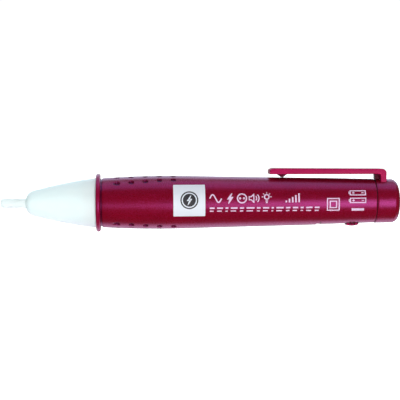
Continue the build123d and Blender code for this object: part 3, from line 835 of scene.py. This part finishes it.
def stroke(line, width, closed=False, lift=0.0):
    """A thin raised line that follows the barrel, as points and faces."""
    spacing, sunk, thick = 0.3, 0.02, 0.035
    path = resample(list(line) + ([line[0]] if closed else []), spacing)
    if closed:
        path = path[:-1]
    n = len(path)
    points, faces = [], []
    for i, here in enumerate(path):
        before = path[i - 1] if i or closed else here
        after = path[(i + 1) % n] if i < n - 1 or closed else here
        d0 = (here - before).normalized() if before != here else None
        d1 = (after - here).normalized() if after != here else None
        d0, d1 = d0 or d1, d1 or d0
        along = (d0 + d1).normalized()
        side = Vector((-along.y, along.x))
        reach = width / 2 / max(0.5, side.dot(Vector((-d0.y, d0.x))))
        left, right = here + side * reach, here - side * reach
        points += [wrap(*left, lift - sunk), wrap(*right, lift - sunk)]
        points += [wrap(*right, lift + thick), wrap(*left, lift + thick)]
    for i in range(n if closed else n - 1):
        a, b = 4 * i, 4 * ((i + 1) % n)
        for k in range(4):
            m = (k + 1) % 4
            faces.append((a + k, a + m, b + m, b + k))
    if not closed:
        e = 4 * (n - 1)
        faces += [(0, 1, 2, 3), (e + 3, e + 2, e + 1, e)]
    return points, faces


def disc(centre, radius, lift):
    """A thin round patch that follows the barrel, as points and faces."""
    rings, segments, sunk, thick = 8, 48, 0.02, 0.03
    points, faces = [], []
    for level in (lift - sunk, lift + thick):
        points.append(wrap(*centre, level))
        for i in range(1, rings + 1):
            for k in range(segments):
                a, r = math.tau * k / segments, radius * i / rings
                points.append(
                    wrap(centre[0] + r * math.cos(a), centre[1] + r * math.sin(a), level)
                )
    size = 1 + rings * segments
    for first in (0, size):
        for k in range(segments):
            j = (k + 1) % segments
            faces.append((first, first + 1 + k, first + 1 + j))
            for i in range(rings - 1):
                a, b = first + 1 + i * segments, first + 1 + (i + 1) * segments
                faces.append((a + k, b + k, b + j, a + j))
    rim = 1 + (rings - 1) * segments
    for k in range(segments):
        j = (k + 1) % segments
        faces.append((rim + k, rim + j, size + rim + j, size + rim + k))
    return points, faces


def printed(name, shapes, material):
    """One thin piece made of several strokes and patches on the barrel."""
    points, faces = [], []
    for shape_points, shape_faces in shapes:
        offset = len(points)
        points += shape_points
        faces += [tuple(k + offset for k in face) for face in shape_faces]
    piece = add_mesh(name, points, faces, 60.0)
    paint(piece, material)
    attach(piece, "barrel")


def moved(line, u, v, size=1.0):
    """A line scaled about its origin and moved to (u, v)."""
    return [(u + x * size, v + y * size) for x, y in line]


def circle(radius, count=28, start=0.0, end=math.tau):
    """Points round a circle, or along an arc of it with both its ends."""
    closed = end - start >= math.tau - 1e-6
    steps = count if closed else count - 1
    angles = [start + (end - start) * k / steps for k in range(count)]
    return [(radius * math.cos(a), radius * math.sin(a)) for a in angles]


# A lightning bolt, two units tall.
BOLT = [(0.35, 1.0), (-0.45, -0.1), (0.05, -0.1), (-0.3, -1.0), (0.5, 0.2), (0.0, 0.2)]


def make_label():
    """White film label with soft corners and a generic bolt mark."""
    x0, x1 = low("rating_label", "x"), high("rating_label", "x")
    low_angle, high_angle = math.radians(-29.3), math.radians(42.6)
    middle_r = barrel_radius((x0 + x1) / 2)
    v0, v1 = low_angle * middle_r, high_angle * middle_r
    corner, nu, nv = 0.14, 40, 44
    sunk, thick = 0.02, 0.12
    points = []
    for lift in (-sunk, thick):
        for i in range(nu + 1):
            for k in range(nv + 1):
                u, v = x0 + (x1 - x0) * i / nu, v0 + (v1 - v0) * k / nv
                cu = min(max(u, x0 + corner), x1 - corner)
                cv = min(max(v, v0 + corner), v1 - corner)
                off = math.hypot(u - cu, v - cv)
                if u != cu and v != cv and off > corner:
                    u, v = cu + (u - cu) * corner / off, cv + (v - cv) * corner / off
                points.append(wrap(u, v, lift))
    label = add_mesh("label", points, slab_faces(nu, nv))
    dress(label, "label_film")
    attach(label, "barrel")
    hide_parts("rating_label")
    centre = ((x0 + x1) / 2, (v0 + v1) / 2)
    ring = stroke(moved(circle(3.2, 48), *centre), 0.5, True, thick)
    printed("label_mark", [ring, disc(centre, 2.5, thick)], LABEL_INK)
    bolt = stroke(moved(BOLT, *centre, size=1.7), 0.32, True, thick + 0.03)
    printed("label_bolt", [bolt], materials["label_film"])


def sine(width, height):
    """One period of a wave, with its middle at the origin."""
    count = 24
    return [
        (width * (k / count - 0.5), height * math.sin(math.tau * k / count))
        for k in range(count + 1)
    ]


def make_signs(v):
    """A row of generic signs: wave, bolt, socket, sounder, lamp and level bars."""
    wave_u, bolt_u, socket_u, sounder_u, lamp_u, bars_u = 73.6, 79.2, 83.8, 88.2, 93.4, 101.0
    bold, medium, size = 0.5, 0.4, 1.75
    signs = [stroke(moved(sine(4.6, 1.5), wave_u, v), bold)]
    signs.append(stroke(moved(BOLT, bolt_u, v, size), bold, True))
    signs.append(stroke(moved(circle(size), socket_u, v), bold, True))
    for side in (-1, 1):
        signs.append(stroke(moved(circle(0.28, 10), socket_u + side * 0.75, v), 0.3, True))
    horn = [(-1.6, 0.6), (-0.8, 0.6), (0.2, 1.6), (0.2, -1.6), (-0.8, -0.6), (-1.6, -0.6)]
    signs.append(stroke(moved(horn, sounder_u, v), medium, True))
    for radius in (1.1, 2.0):
        sound = circle(radius, 12, -0.8, 0.8)
        signs.append(stroke(moved(sound, sounder_u + 0.2, v), medium))
    bulb_v = 0.5
    signs.append(stroke(moved(circle(0.9, 20), lamp_u, v + bulb_v), bold, True))
    for half, base_v in ((0.5, -1.1), (0.35, -1.7)):
        signs.append(stroke(moved([(-half, base_v), (half, base_v)], lamp_u, v), medium))
    for spoke in range(5):
        a = math.pi * spoke / 4
        ray = [(r * math.cos(a), bulb_v + r * math.sin(a)) for r in (1.35, 1.95)]
        signs.append(stroke(moved(ray, lamp_u, v), 0.35))
    for bar in range(5):
        u, height = bars_u + 1.25 * bar, 0.7 + 0.7 * bar
        signs.append(stroke([(u, v - 1.7), (u, v - 1.7 + height)], 0.6))
    return signs


def make_dashes(v):
    """Two rows of dashes in place of small print."""
    lengths = [1.9, 2.3, 1.1, 2.6, 1.6, 3.1, 1.4, 2.4, 0.9, 2.8, 1.7, 2.1, 1.2, 2.5, 1.8]
    u, gap, dashes = 71.3, 0.95, []
    for length in lengths:
        dashes.append(stroke([(u, v), (u + length, v)], 0.6))
        dashes.append(stroke([(u, v - 1.2), (u + length * 0.8, v - 1.2)], 0.45))
        u += length + gap
    return dashes


def make_cell_signs(u, v):
    """Two cells in outline with their poles, and a bar below them."""
    case = [(-3.0, -0.85), (3.0, -0.85), (3.0, 0.85), (-3.0, 0.85)]
    nub = [(-3.0, 0.35), (-3.5, 0.35), (-3.5, -0.35), (-3.0, -0.35)]
    plus = [(-2.3, 0.0), (-1.3, 0.0)], [(-1.8, -0.5), (-1.8, 0.5)]
    minus = [(1.4, 0.0), (2.3, 0.0)]
    signs = []
    for cell_v in (v - 1.5, v + 1.5):
        signs.append(stroke(moved(case, u, cell_v), 0.4, True))
        for line in (nub, *plus, minus):
            signs.append(stroke(moved(line, u, cell_v), 0.3))
    bar_half, bar_v = 2.4, -3.0
    signs.append(stroke([(u - bar_half, bar_v), (u + bar_half, bar_v)], 1.0))
    return signs


def make_print():
    """Generic signs and dashes in place of the maker's print."""
    signs_v, dashes_v = 1.75, -2.0
    nest_u, nest_v, cells_u, cells_v = 119.4, -0.9, 129.1, 2.1
    shapes = make_signs(signs_v) + make_dashes(dashes_v)
    for half in (2.3, 1.25):
        square = [(-half, -half), (half, -half), (half, half), (-half, half)]
        shapes.append(stroke(moved(square, nest_u, nest_v), 0.45, True))
    shapes += make_cell_signs(cells_u, cells_v)
    printed("pad_print", shapes, BODY_INK)


# ---------------------------------------------------------------- carried-over nodes
def dress_nodes():
    """Every CAD node gets its slot's finish, and the switch panel gets soft edges."""
    slots = {s["node"]: s["material_slot"] for s in frame["record"]["subparts"]}
    for name, piece in nodes.items():
        dress(piece, slots[name])
    bevel(nodes["switch_panel"], 0.12, angle_deg=40.0)


add_camera()
add_studio()
add_floor()
dress_nodes()
make_nose()
make_collar()
make_barrel()
make_cap()
make_button()
make_clip()
make_label()
make_print()
